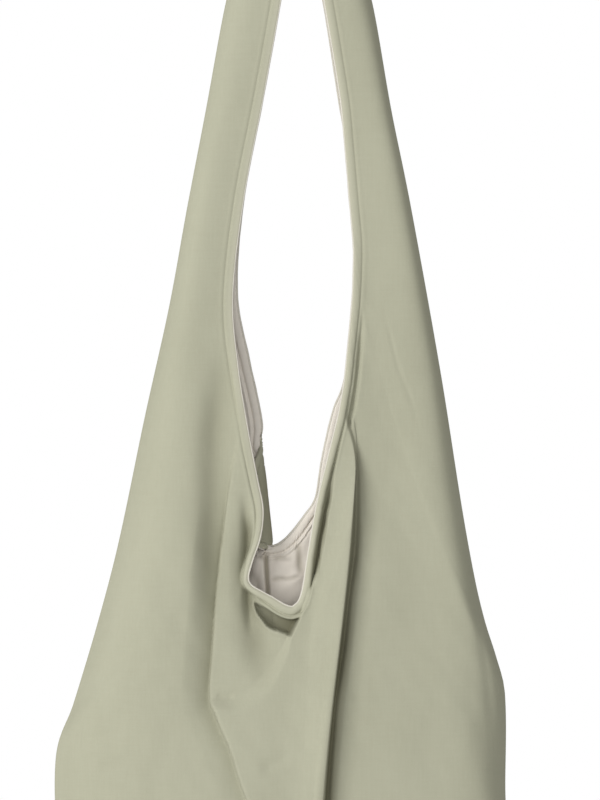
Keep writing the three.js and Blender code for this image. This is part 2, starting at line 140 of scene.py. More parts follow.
# In millimetres: how far the cloth falls left of the fold edge and how far that edge hangs
# over it, how far the plate and the pocket's lower edge stand up, and how deep the hollow
# is at its top and at its foot.
edge_fall, edge_width, edge_overhang = 13, 27, 2.8
plate_rise, pocket_rise, hollow_depth, hollow_foot = 4.5, 1.6, 9, 16
ditch_side = (60.3, 61)  # the stations between which the crest gives way to its ditch
pouch_side = (28, 78)    # the stations between which the panel has folds


def blend(a, b, x):
    """0 where x is a, 1 where it is b, and 3t squared minus 2t cubed between them."""
    t = np.clip((x - a) / (b - a), 0, 1)
    return t * t * (3 - 2 * t)


def along(rows, at):
    """The columns of a closed table at any stations: a cubic through its rows, whose slope
    at each row is that between its two neighbours."""
    rows = np.asarray(rows, float)
    at = np.mod(at, lap)
    first = np.searchsorted(rows[:, 0], at, side="right") - 1
    places, values = [], []
    for step in (-1, 0, 1, 2):
        turn, row = np.divmod(first + step, len(rows))
        places.append((rows[row, 0] + turn * lap)[..., None])
        values.append(rows[row, 1:])
    (a, b, c, d), (p, q, r, w) = places, values
    h = c - b
    t = (at[..., None] - b) / h
    start, end = (r - p) / (c - a) * h, (w - q) / (d - b) * h
    curve = (2 * t**3 - 3 * t**2 + 1) * q + (t**3 - 2 * t**2 + t) * start
    curve += (3 * t**2 - 2 * t**3) * r + (t**3 - t**2) * end
    return np.moveaxis(curve, -1, 0)


def height_of(down):
    """Height of a row: down is 0 at the crown, 1 at the foot of the front hem, 2 at the bottom."""
    return wall - mouth_drop * np.minimum(down, 1) - pouch_height * np.maximum(down - 1, 0)


seam_line = np.array(seam_rows, float)
seam_line[:, 4] = height_of(seam_line[:, 4])


def smooth_line(pairs, steps=5):
    """Points (x, z) in millimetres, joined by a cubic through every one of them."""
    p = np.array(pairs, float)
    p = np.vstack([2 * p[0] - p[1], p, 2 * p[-1] - p[-2]])
    t = np.linspace(0, 1, steps, endpoint=False)[:, None]
    parts = []
    for i in range(1, len(p) - 2):
        start, end = (p[i + 1] - p[i - 1]) / 2, (p[i + 2] - p[i]) / 2
        parts.append((2 * t**3 - 3 * t**2 + 1) * p[i] + (t**3 - 2 * t**2 + t) * start
                     + (3 * t**2 - 2 * t**3) * p[i + 1] + (t**3 - t**2) * end)
    return np.vstack(parts + [p[-2:-1]])


def near_line(line, x, z):
    """Signed gap to a line (right of it is positive) and the share along it, all in millimetres."""
    gap, side, share = np.full(x.shape, 9e3), np.ones(x.shape), np.zeros(x.shape)
    for i, (a, b) in enumerate(zip(line[:-1], line[1:])):
        dx, dz = b - a
        t = np.clip(((x - a[0]) * dx + (z - a[1]) * dz) / (dx * dx + dz * dz), 0, 1)
        far = np.hypot(x - a[0] - t * dx, z - a[1] - t * dz)
        closer = far < gap
        gap = np.where(closer, far, gap)
        side = np.where(closer, np.sign((z - a[1]) * dx - (x - a[0]) * dz), side)
        share = np.where(closer, (i + t) / (len(line) - 1), share)
    return side * gap, share


def bell(x, width):
    """1 at x = 0, falling as exp of minus x over the width squared."""
    return np.exp(-((x / width) ** 2))


def front_folds(x, z, at, v):
    """How far the front's folds stand out, in millimetres: bell-shaped dents, a fold edge
    that hangs over the falling cloth on its left, a raised plate with a soft or a sharp
    edge, a ditch beside the crest, and a hollow between the hem, the plate and the pocket's
    lower edge. Also how far the fold edge hangs over, and how much painted shade each
    point gets, darkest deep in the folds."""
    rim_at = np.linspace(27, 79, 110)
    mouth, down = along(front_rim_rows, rim_at)
    rim = np.stack([mouth * mouth_width, height_of(down)], -1) * 1000
    rim_gap = abs(near_line(rim, x, z)[0])
    total, deep = np.zeros(x.shape), np.zeros(x.shape)
    for width, depth, shaded, pairs in soft_dents:
        gap, share = near_line(smooth_line(pairs), x, z)
        dent = bell(gap, width) * blend(0, 0.3, share) * blend(1, 0.7, share)
        total -= depth * dent
        # painted shade along the dent
        deep = np.maximum(deep, shaded * dent)

    # the fold edge, from the upper left down to the foot of the plate
    left, share = near_line(smooth_line(left_edge), x, z)
    strength = np.interp(share, [0, 0.1, 0.2, 0.3, 0.4, 0.5, 0.6, 0.85, 1],
                         [0, 0.2, 0.6, 1, 0.92, 0.75, 0.6, 0.35, 0])
    over_left = blend(-1.2, 1.2, left)
    fallen = edge_fall * np.clip(1 - abs(left) / edge_width, 0, 1) ** 1.6
    total += strength * ((over_left - 1) * fallen + over_left * 3 * bell(left, 22))
    # painted shade on the falling cloth left of the fold edge
    beside = 0.3 * strength * (1 - over_left) * np.clip(1 + left / 16, 0, 1)
    deep = np.maximum(deep, beside)
    aside = -edge_overhang * strength * over_left * np.exp(-np.maximum(left, 0) / 6)

    # the plate between the fold edge and the deep fold's crest
    gap, share = near_line(smooth_line(plate_edge), x, z)
    edge = np.interp(share, [0, 0.62, 0.7, 0.85, 1], [2.0, 1.6, 2.5, 9, 5])
    over_plate = blend(-edge, edge, gap)
    whole_plate = over_plate * over_left * blend(-540, -610, z) * blend(-1000, -890, z)
    total += plate_rise * whole_plate * blend(ditch_side[1], ditch_side[0], at)

    # the ditch that the deep fold overhangs, right of its crest
    ditch, share = near_line(smooth_line(crest_edge), x, z)
    low = np.interp(share, [0, 0.12, 0.4, 0.6, 0.94, 1], [0, 2.6, 4.6, 6.5, 6.5, 0])
    low = low * blend(*ditch_side, at)
    total -= low * bell(ditch - 1.7, 3.1)
    # painted shade in the ditch, fading out to the right of the crest
    wide = np.interp(share, [0, 0.25, 0.5], [5, 6, 12.5])
    deep = np.maximum(deep, low / 6.5 * np.clip(1 - ditch / wide, 0, 1))
    away = blend(3.2, 7, rim_gap) * blend(1, 0.85, v)
    total *= away

    # the hollow under the hem, down to the pocket's lower edge, and a dip beside the hem
    pocket, share = near_line(smooth_line(pocket_edge), x, z)
    total += pocket_rise * bell(pocket + 2.2, 2.6) * blend(0, 0.3, share) * blend(1, 0.8, share)
    first = np.interp(at, [55.6, 57], [10.0, 2.5])
    last = np.interp(at, [55.6, 57], [13.0, 9.0])
    hollow = blend(first, last, rim_gap) * (1 - over_plate) * blend(-0.9, 0.9, pocket)
    hollow = hollow * blend(43.2, 44.8, at) * blend(63, 61.5, at) * blend(-525, -640, z)
    foot = (hollow_foot - hollow_depth) * blend(-690, -712, z)
    total -= (hollow_depth + foot) * np.interp(x, [-44, -25], [0.5, 1]) * hollow
    above = blend(72, 66, at) * blend(60.3, 61.3, at)
    total -= 4.5 * bell(rim_gap - 10.5, 2.2) * above
    # painted shade in the hollow under the hem, weaker on its left
    in_hollow = hollow * np.interp(x, [-42, -5], [0.25, 0.85])
    return total, aside * away, np.maximum(in_hollow, deep * away)


def swell(seed, across, down):
    """A soft uneven wave over the cloth between about -1 and 1: a sum of long sine waves."""
    rng = np.random.default_rng(seed)
    total, waves = np.zeros(np.broadcast(across, down).shape), 9
    for _ in range(waves):
        fast, slow, shift = rng.uniform(0.3, 1), rng.uniform(-1, 1), rng.uniform(0, 6.28)
        total += np.sin(6.28 * (fast * across + slow * down) + shift)
    return total / np.sqrt(waves)


def front_point(at, v, folded=True):
    """A point of the front panel: station at, and share v of the way from rim to seam. It
    bulges by 1 less a power of v, the deep fold draws it aside, and right of that fold its
    columns sag, so that none runs along the seam. The lining takes it unfolded, without
    the deep fold and the small ones."""
    mouth, strap, body, seam_z = along(seam_line, at)
    rim_mouth, rim_down = along(front_rim_rows, at)
    rim, belly, turn = along(front_bulge_rows, at)
    bow, draw, height = along(crest_rows, at) * folded
    hold = blend(0, 0.2, v) * blend(1, 0.8, v)
    leave = 1 - (1 - np.minimum(v / 0.11, 1)) ** 2
    seam_x = mouth * mouth_width + strap * strap_width + body * body_width
    x = rim_mouth * mouth_width * (1 - v) + seam_x * v
    x = x + bow * crest_bow * leave * blend(0.8, 0.1, v)
    x = x + draw * crest_draw * hold * (0.35 + 0.65 * blend(0.2, 0.6, v))
    lower = v + 0.5 * blend(62.5, 73, at) * blend(82, 73, at) * v * (1 - v)
    z = height_of(rim_down) * (1 - lower) + seam_z * lower
    stand = (rim + (belly - rim) * blend(0, 0.8, v)) * front_depth * (1 - v**turn)
    y = -stand - height * crest_height * hold
    if folded:
        soft = blend(1, 0.85, v) * blend(0, 0.06, v) * blend(28, 34, at) * blend(80, 70, at)
        y = y + (0.0011 * swell(5, x / 0.15, z / 0.3) + 0.0004 * swell(8, x / 0.05, z / 0.1)
                 + 0.00012 * swell(9, x / 0.022, z / 0.03)) * soft
        at, v = at + 0 * x, v + 0 * x
        pouch = (at > pouch_side[0]) & (at < pouch_side[1])
        high, aside, _ = front_folds(1000 * x[pouch], 1000 * z[pouch], at[pouch], v[pouch])
        y[pouch] -= 0.001 * high
        x[pouch] += 0.001 * aside
    return np.stack([x, y, z], -1)


def stations_of(runs):
    """Stations of a mesh, from rows of start, end and steps."""
    return np.concatenate([np.linspace(a, b, n, endpoint=False) for a, b, n in runs])


def facing(points, side):
    """Unit direction out of the cloth at each grid point: the cross product of the
    differences down the rows and round the stations."""
    around = np.roll(points, -1, 1) - np.roll(points, 1, 1)
    down = np.gradient(points, axis=0)
    out = np.cross(down, around) * side
    return out / np.maximum(np.linalg.norm(out, axis=-1, keepdims=True), 1e-12)


def lay_out(point, stations, near, far, side):
    """The outside face of a panel as a grid of points, with what its edges need.

    The first rows lie at set distances from the rim's line in space, found on a trial grid
    that is finer near the rim and evened out along the rim, more so for the farther rows.
    The others lie at set shares of the way on to the seam."""
    trial_rows, trial_share, off_rim, rim_steps = 141, 0.4, 18, 36
    trial = trial_share * np.linspace(0, 1, trial_rows)[:, None] ** 2
    fine = point(stations + 0 * trial, trial + 0 * stations)
    rim = fine[0]
    around = np.roll(rim, -1, 0) - np.roll(rim, 1, 0)
    out = np.cross(fine[off_rim] - rim, around) * side
    square = np.cross(around, out) * side
    square /= np.linalg.norm(square, axis=-1, keepdims=True)
    square *= np.sign((square * (fine[off_rim] - rim)).sum(-1, keepdims=True))
    reach = np.full(fine.shape[:2], 9.0)
    for step in range(-rim_steps, rim_steps):
        a, b = np.roll(rim, -step, 0), np.roll(rim, -step - 1, 0)
        share = ((fine - a) * (b - a)).sum(-1) / ((b - a) ** 2).sum(-1)
        away = fine - a - np.clip(share, 0, 1)[..., None] * (b - a)
        reach = np.minimum(reach, (away**2).sum(-1))
    reach = np.maximum.accumulate(np.sqrt(reach), 0) + 1e-8 * np.arange(trial_rows)[:, None]
    rows = []
    wide = along(hem_share_rows, stations)[0]
    for distance in near[:, None] * wide:
        k = np.clip((reach < distance).sum(0), 1, trial_rows - 1)
        low = np.take_along_axis(reach, k[None] - 1, 0)[0]
        high = np.take_along_axis(reach, k[None], 0)[0]
        share = np.clip((distance - low) / (high - low), 0, 1)
        row = trial[k - 1, 0] + share * (trial[k, 0] - trial[k - 1, 0])
        for _ in range(2 * len(rows)):
            row = (np.roll(row, 1) + 2 * row + np.roll(row, -1)) / 4
        rows.append(row)
    v = np.array(rows)
    far = np.asarray(far)[:, None]
    v = np.vstack([v, v[-1] + (1 - v[-1]) * far])
    points = point(stations + 0 * v, v)
    length = np.concatenate([[0], np.cumsum(np.linalg.norm(np.diff(rim, axis=0), axis=-1))])
    falls = np.linalg.norm(np.diff(points, axis=0), axis=-1)
    fall = np.vstack([0 * stations, np.cumsum(falls, 0)])
    from_rim = fall + near[-1] - fall[len(near) - 1]
    from_rim[: len(near)] = np.asarray(near)[:, None]
    return {"points": points, "out": facing(points, side), "square": -square, "v": v,
            "side": side, "from_rim": from_rim, "to_seam": fall[-1] - fall,
            "length": length, "at": stations}


def sines(rng, s, count, low, high, loud=False):
    """A sum of sine waves along the rim, each of a length between low and high metres."""
    total = 0
    for _ in range(count):
        size = rng.uniform(0.4, 1) if loud else 1
        total = total + size * np.sin(6.28 * s / rng.uniform(low, high) + rng.uniform(0, 6))
    return total


def hem_band(d):
    """The puffed band between rim and stitches: the root of a half sine, 1 at its middle."""
    return np.sqrt(np.clip(np.sin(np.pi * np.clip(d / hem_width, 0, 1)), 0, 1))


def hem_form(sheet, seed):
    """How far the cloth stands out near the rim: a puffed band, the groove that the
    topstitches pull in, a low ridge past it, and small puckers across them all. All of it
    is weaker round the foot of the opening."""
    d, s, at = sheet["from_rim"], sheet["length"], sheet["at"]
    rng = np.random.default_rng(seed)
    pucker = sines(rng, s, 8, 0.009, 0.03, True) / 3
    slow = sines(rng, s, 5, 0.03, 0.09) / 5
    form = hem_puff * hem_band(d) * (1 + 0.12 * slow)
    form = form - groove_depth * bell(d - hem_width, 0.001) * (1 + 0.15 * pucker)
    form = form + 0.0005 * bell(d - 0.0103, 0.0015)
    form = form + 0.00016 * pucker * bell(d - 0.006, 0.006)
    return form * (0.35 + 0.65 * blend(31, 40, at) * blend(72, 61, at))


def seam_form(sheet):
    """How far the cloth rolls in, in the plane of the seam, over its last 3 millimetres."""
    return 0.0008 * np.clip(1 - sheet["to_seam"] / 0.003, 0, 1) ** 2


def grid_mesh(name, rows, flip, attributes=()):
    """A mesh from rows of points that each close on themselves, faces out, smooth."""
    across, around = rows.shape[:2]
    row, col = np.meshgrid(np.arange(across - 1), np.arange(around), indexing="ij")
    nxt = (col + 1) % around
    quads = np.stack([row * around + col, row * around + nxt,
                      (row + 1) * around + nxt, (row + 1) * around + col], -1).reshape(-1, 4)
    if flip:
        quads = quads[:, ::-1]
    mesh = bpy.data.meshes.new(name)
    mesh.vertices.add(across * around)
    mesh.vertices.foreach_set("co", rows.reshape(-1).astype(np.float32))
    mesh.loops.add(quads.size)
    mesh.loops.foreach_set("vertex_index", quads.reshape(-1).astype(np.int32))
    mesh.polygons.add(len(quads))
    mesh.polygons.foreach_set("loop_start", np.arange(0, quads.size, 4, dtype=np.int32))
    mesh.update(calc_edges=True)
    mesh.validate()
    mesh.polygons.foreach_set("use_smooth", np.ones(len(mesh.polygons), bool))
    for key, values in attributes:
        mesh.attributes.new(key, "FLOAT", "POINT").data.foreach_set(
            "value", np.asarray(values, np.float32).reshape(-1))
    mesh.update()
    obj = bpy.data.objects.new(name, mesh)
    bpy.context.scene.collection.objects.link(obj)
    return obj


edge_turns = np.radians([150, 120, 90, 60, 30])  # the rows round the cloth's turned edge


def with_edge(values):
    """Values on a sheet's grid, after rows of zeros for the turned edge."""
    return np.vstack([np.zeros((len(edge_turns), values.shape[1])), values])


def canvas_rows(sheet, seed):
    """The turned edge, as part of a circle round the cloth's middle, then the outside face
    from rim to seam. Also how worn each point is, by its distance from the rim."""
    out = sheet["out"]
    points = sheet["points"] + out * hem_form(sheet, seed)[..., None]
    flat = out * [1, 0, 1]
    flat /= np.maximum(np.linalg.norm(flat, axis=-1, keepdims=True), 0.3)
    points = points - flat * seam_form(sheet)[..., None]
    turn = edge_turns[:, None, None]
    radius = canvas_thickness / 2
    centre = sheet["points"][0] - out[0] * radius
    edge = centre + sheet["square"] * radius * np.sin(turn) + out[0] * radius * np.cos(turn)
    return np.concatenate([edge, points]), bell(with_edge(sheet["from_rim"]), 0.004)


def shader(material):
    """The nodes, links and main shader of a fresh material."""
    material.use_nodes = True
    nodes, links = material.node_tree.nodes, material.node_tree.links
    return nodes, links, nodes["Principled BSDF"]


def cloth_material(name, deep, light, edge, thread, bump, sheen):
    """Woven cotton: threads of the given pitch both ways, slubs that run along them,
    patches of tone, the edge's colour near the rim (wear on the canvas, a painted shade on
    the lining's lip), and a painted shade in the folds, a darker tone that makes them look
    as deep as the real ones."""
    material = bpy.data.materials.new(name)
    nodes, links, main = shader(material)
    where = nodes.new("ShaderNodeTexCoord")

    def noise(scale, stretch, detail):
        mapping = nodes.new("ShaderNodeMapping")
        mapping.inputs["Scale"].default_value = stretch
        texture = nodes.new("ShaderNodeTexNoise")
        texture.inputs["Scale"].default_value = scale
        texture.inputs["Detail"].default_value = detail
        texture.inputs["Roughness"].default_value = 0.5
        links.new(where.outputs["Object"], mapping.inputs["Vector"])
        links.new(mapping.outputs["Vector"], texture.inputs["Vector"])
        return texture.outputs["Fac"]

    def math(kind, a, b):
        node = nodes.new("ShaderNodeMath")
        node.operation = kind
        for socket, value in zip(node.inputs, (a, b)):
            if isinstance(value, (int, float)):
                socket.default_value = value
            else:
                links.new(value, socket)
        return node.outputs[0]

    def threads(axis):
        wave = nodes.new("ShaderNodeTexWave")
        wave.wave_type = "BANDS"
        wave.bands_direction = axis
        wave.inputs["Scale"].default_value = 0.314 / thread  # a band is 0.314 at scale 1
        wave.inputs["Distortion"].default_value = 1.2
        wave.inputs["Detail"].default_value = 1.0
        wave.inputs["Detail Scale"].default_value = 0.4
        links.new(where.outputs["Object"], wave.inputs["Vector"])
        return wave.outputs["Fac"]

    tone = math("ADD", math("MULTIPLY", noise(5.0, (1, 1, 1), 4.0), 0.5),
                math("MULTIPLY", noise(14.0, (2.5, 2.5, 0.6), 3.0), 0.2))
    warp = math("MULTIPLY", noise(110.0, (6, 6, 0.4), 2.0), 0.16)
    weft = math("MULTIPLY", noise(110.0, (0.4, 0.4, 7), 2.0), 0.12)
    lint = math("MULTIPLY", noise(700.0, (1, 1, 1), 1.0), 0.12)
    mixed = math("ADD", math("ADD", tone, warp), math("ADD", weft, lint))
    ramp = nodes.new("ShaderNodeValToRGB")
    ramp.color_ramp.elements[0].position, ramp.color_ramp.elements[1].position = 0.36, 0.74
    ramp.color_ramp.elements[0].color = (*deep, 1)
    ramp.color_ramp.elements[1].color = (*light, 1)
    links.new(mixed, ramp.inputs["Fac"])
    worn = nodes.new("ShaderNodeAttribute")
    worn.attribute_name = "worn"
    pale = nodes.new("ShaderNodeMix")
    pale.data_type = "RGBA"
    pale.inputs["B"].default_value = (*edge, 1)
    links.new(math("MULTIPLY", worn.outputs["Fac"], 0.75), pale.inputs["Factor"])
    links.new(ramp.outputs["Color"], pale.inputs["A"])
    # painted shade: where the fold attribute is high, the colour turns to a dark warm olive,
    # standing in for the shadow deep in the folds
    fold = nodes.new("ShaderNodeAttribute")
    fold.attribute_name = "painted_fold_shade"
    shade = nodes.new("ShaderNodeMix")
    shade.data_type = "RGBA"
    shade.inputs["B"].default_value = (deep[0] * 0.23, deep[1] * 0.21, deep[2] * 0.12, 1)
    links.new(math("MULTIPLY", fold.outputs["Fac"], 0.9), shade.inputs["Factor"])
    links.new(pale.outputs["Result"], shade.inputs["A"])
    links.new(shade.outputs["Result"], main.inputs["Base Color"])

    weave = math("MULTIPLY", math("ADD", threads("X"), threads("Z")), 0.5)
    relief = math("ADD", math("MULTIPLY", weave, 0.5),
                  math("ADD", math("MULTIPLY", warp, 1.2), math("MULTIPLY", weft, 1.2)))
    dent = nodes.new("ShaderNodeBump")
    dent.inputs["Strength"].default_value = bump
    dent.inputs["Distance"].default_value = 0.0004
    links.new(relief, dent.inputs["Height"])
    links.new(dent.outputs["Normal"], main.inputs["Normal"])
    main.inputs["Roughness"].default_value = 0.88
    main.inputs["Specular IOR Level"].default_value = 0.2
    main.inputs["Sheen Weight"].default_value = sheen
    main.inputs["Sheen Roughness"].default_value = 0.5
    main.inputs["Sheen Tint"].default_value = (*[min(1, c * 1.4) for c in light], 1)
    return material


# Distances of the first rows from the rim, in metres, and shares of the rest of the way.
hem_rows = np.array([0, 0.5, 1.1, 1.9, 2.8, 3.8, 4.8, 5.8, 6.5, 7, 7.5, 8, 8.5, 9, 9.6, 10.3,
                     11, 11.7, 12.4, 13.2, 14, 15]) / 1000
body_shares = np.concatenate([np.linspace(0, 0.11, 30)[1:], np.linspace(0.11, 0.2, 12)[1:],
                              np.linspace(0.2, 0.6, 54)[1:], np.linspace(0.6, 0.985, 22)[1:],
                              [0.993, 0.997, 1]])
front_stations = stations_of([(0, 29, 90), (29, 39, 62), (39, 50, 134), (50, 56, 60),
                              (56, 64, 176), (64, 70, 44), (70, 77, 36), (77, 100, 72)])
front_sheet = lay_out(front_point, front_stations, hem_rows, body_shares, 1)
canvas = cloth_material("sage_canvas", (0.305, 0.302, 0.224), (0.36, 0.357, 0.27),
                        (0.42, 0.41, 0.32), 0.00045, 0.3, 0.15)
rows, worn = canvas_rows(front_sheet, 11)
x, _, z = np.moveaxis(1000 * front_sheet["points"], -1, 0)
# the painted shade of the front's folds, as an attribute for the material
painted_fold_shade = with_edge(front_folds(x, z, front_sheet["at"] + 0 * x, front_sheet["v"])[2])
front_canvas = grid_mesh("front_canvas", rows, True, [("worn", worn), ("painted_fold_shade", painted_fold_shade)])
front_canvas.data.materials.append(canvas)
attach(front_canvas, "root")
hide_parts("front_panel")


# The back panel, of the same canvas, sewn to the front along the outer seam. The left part
# of its edge is rolled in towards the front, so that its outside shows there as a dark
# strip in the opening, in shade and darkened further by painted shade.
back_depth, roll_reach, roll_depth, roll_share = 0.040, 0.026, 0.012, 0.06
# columns: station, share of the mouth in x, down, how much is rolled in
back_rim_rows = [
    (0, 0, 0.043, 0), (4, -0.06, 0.053, 0), (8, -0.1, 0.088, 0), (12, -0.138, 0.149, 0),
    (15, -0.195, 0.202, 0), (19, -0.355, 0.333, 0), (23, -0.52, 0.476, 0), (27, -0.562, 0.589, 0),
    (30, -0.458, 0.671, 0), (32.5, -0.352, 0.745, 0), (33.5, -0.336, 0.77, 0.03),
    (34.1, -0.334, 0.785, 0.15), (34.5, -0.329, 0.793, 0.31), (34.9, -0.322, 0.801, 0.46),
    (35.4, -0.311, 0.8115, 0.7), (36.2, -0.295, 0.829, 0.92), (37, -0.279, 0.852, 1),
    (38.4, -0.253, 0.888, 1), (39.2, -0.243, 0.902, 0.92), (39.9, -0.24, 0.911, 0.75),
    (40.6, -0.25, 0.9155, 0.55), (41.3, -0.264, 0.917, 0.35), (42, -0.276, 0.9178, 0.18),
    (42.7, -0.282, 0.918, 0.06), (43.3, -0.279, 0.9175, 0), (44.2, -0.252, 0.9175, 0),
    (46, -0.182, 0.9135, 0), (51, -0.075, 0.899, 0), (56, 0.05, 0.875, 0),
    (60, 0.141, 0.853, 0), (63.5, 0.187, 0.812, 0), (66.5, 0.231, 0.779, 0),
    (70, 0.302, 0.737, 0), (73.5, 0.397, 0.699, 0), (77, 0.47, 0.622, 0), (81, 0.505, 0.471, 0),
    (85, 0.354, 0.333, 0), (89, 0.218, 0.204, 0), (92, 0.13, 0.141, 0), (95, 0.098, 0.084, 0),
    (97.5, 0.055, 0.051, 0),
]
# columns: station, depth at the rim, depth in the belly, and how late the cloth turns in
back_bulge_rows = [
    (0, 0.82, 0.75, 2), (8, 0.62, 0.55, 2.2), (15, 0.37, 0.37, 2.6), (23, 0.3, 0.37, 3),
    (27, 0.35, 0.5, 3), (33, 0.32, 0.7, 3), (38.5, 0.22, 0.9, 3.4), (45, 0.15, 1, 6),
    (56, 0.15, 1, 6), (66.5, 0.2, 1, 4), (73.5, 0.3, 0.7, 3), (81, 0.3, 0.4, 3),
    (89, 0.37, 0.4, 2.6), (97, 0.75, 0.7, 2),
]
# Soft dents of the back: width and depth in millimetres, then the points of the line.
back_dents = [
    (22, 8, [(-84, -640), (-88, -746), (-84, -845), (-67, -945)]),
    (18, 7, [(8, -675), (13, -780), (21, -880), (25, -980)]),
    (20, 7, [(92, -568), (109, -746), (118, -845), (113, -965)]),
]


def back_point(at, v):
    """A point of the back panel, as the front's without folds. Where its edge is rolled,
    the first shares of v run back and aside by the square of what is left of the roll."""
    mouth, strap, body, seam_z = along(seam_line, at)
    rim_mouth, rim_down, roll = along(back_rim_rows, at)
    rim, belly, turn = along(back_bulge_rows, at)
    seam_x = mouth * mouth_width + strap * strap_width + body * body_width
    start = roll_share * np.maximum(0.001, blend(0, 0.35, roll))
    rolled = np.maximum(0, 1 - v / start)
    fall = np.maximum(0, v - start) / (1 - start)
    x = rim_mouth * mouth_width * (1 - fall) + seam_x * fall - roll * roll_reach * rolled**2
    drop = 1.1 * roll * blend(40.5, 36, at) * roll_reach * rolled**2
    z = height_of(rim_down) * (1 - fall) + seam_z * fall - drop
    stand = (rim + (belly - rim) * blend(0, 0.8, v)) * back_depth * (1 - v**turn)
    soft = blend(1, 0.85, v) * blend(0, 0.06, v)
    wide = blend(28, 34, at) * blend(80, 70, at)
    y = stand - blend(0, 0.3, roll) * roll_depth * rolled * (2 - rolled)
    for width, depth, pairs in back_dents:
        gap, share = near_line(smooth_line(pairs), 1000 * x, 1000 * z)
        dent = bell(gap, width) * blend(0, 0.2, share) * blend(1, 0.75, share)
        y = y - 0.001 * depth * dent * soft
    y = y + 0.0011 * wide * soft * swell(21, x / 0.15, z / 0.3)
    y = y + 0.0003 * wide * soft * swell(25, x / 0.05, z / 0.12)
    return np.stack([x, y, z], -1)


back_stations = stations_of([(0, 29, 90), (29, 33, 30), (33, 43, 170), (43, 61, 160),
                             (61, 70, 70), (70, 77, 40), (77, 100, 72)])
back_sheet = lay_out(back_point, back_stations, hem_rows, body_shares, -1)
rows, worn = canvas_rows(back_sheet, 12)
# painted shade on the rolled strip of the back's edge, darkest towards its fold
_, _, roll = along(back_rim_rows, back_sheet["at"])
in_roll = back_sheet["v"] / roll_share
painted_fold_shade = with_edge(0.45 * roll * in_roll * (in_roll < 1))
back_canvas = grid_mesh("back_canvas", rows, False, [("worn", worn), ("painted_fold_shade", painted_fold_shade)])
back_canvas.data.materials.append(canvas)
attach(back_canvas, "root")
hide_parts("back_panel")


# The two linings, of thin pale cotton, caught in the same seam. Each hangs inside its
# panel, and its edge is rolled over the canvas as a narrow round lip, the pale line along
# the opening.
lip_radius, lip_reach, lip_back = 0.00095, 0.0006, 0.0011
slack_depth, pleat_depth = 0.0035, 0.006  # the back lining's slack, and beside its pleat
least_gap, seam_gap = 0.0012, 0.0003      # from the canvas, and from the seam's plane
# columns: millimetres from the rim, height of the lining there and how wide that form is
lining_hem = [(8.0, -1.1, 1.2), (10.6, 0.8, 1.3), (12.9, -0.5, 1.0)]
# Creases of the back lining: width and depth in millimetres, then the points of the line.
lining_creases = [
    (1.9, 3.0, [(-31, -652), (-31.5, -664), (-31, -680), (-30, -705), (-30, -735)]),
    (2.0, 1.3, [(-29, -683), (-20, -681), (-9, -681), (4, -677)]),
    (3.5, 1.6, [(-2, -645), (-1, -656), (0, -668), (1, -680)]),
    (2.5, 0.9, [(-27, -664), (-20, -661), (-12, -663), (-4, -660)]),
    (2.5, 1.0, [(-43, -668), (-41, -678), (-40, -688), (-37, -700)]),
]


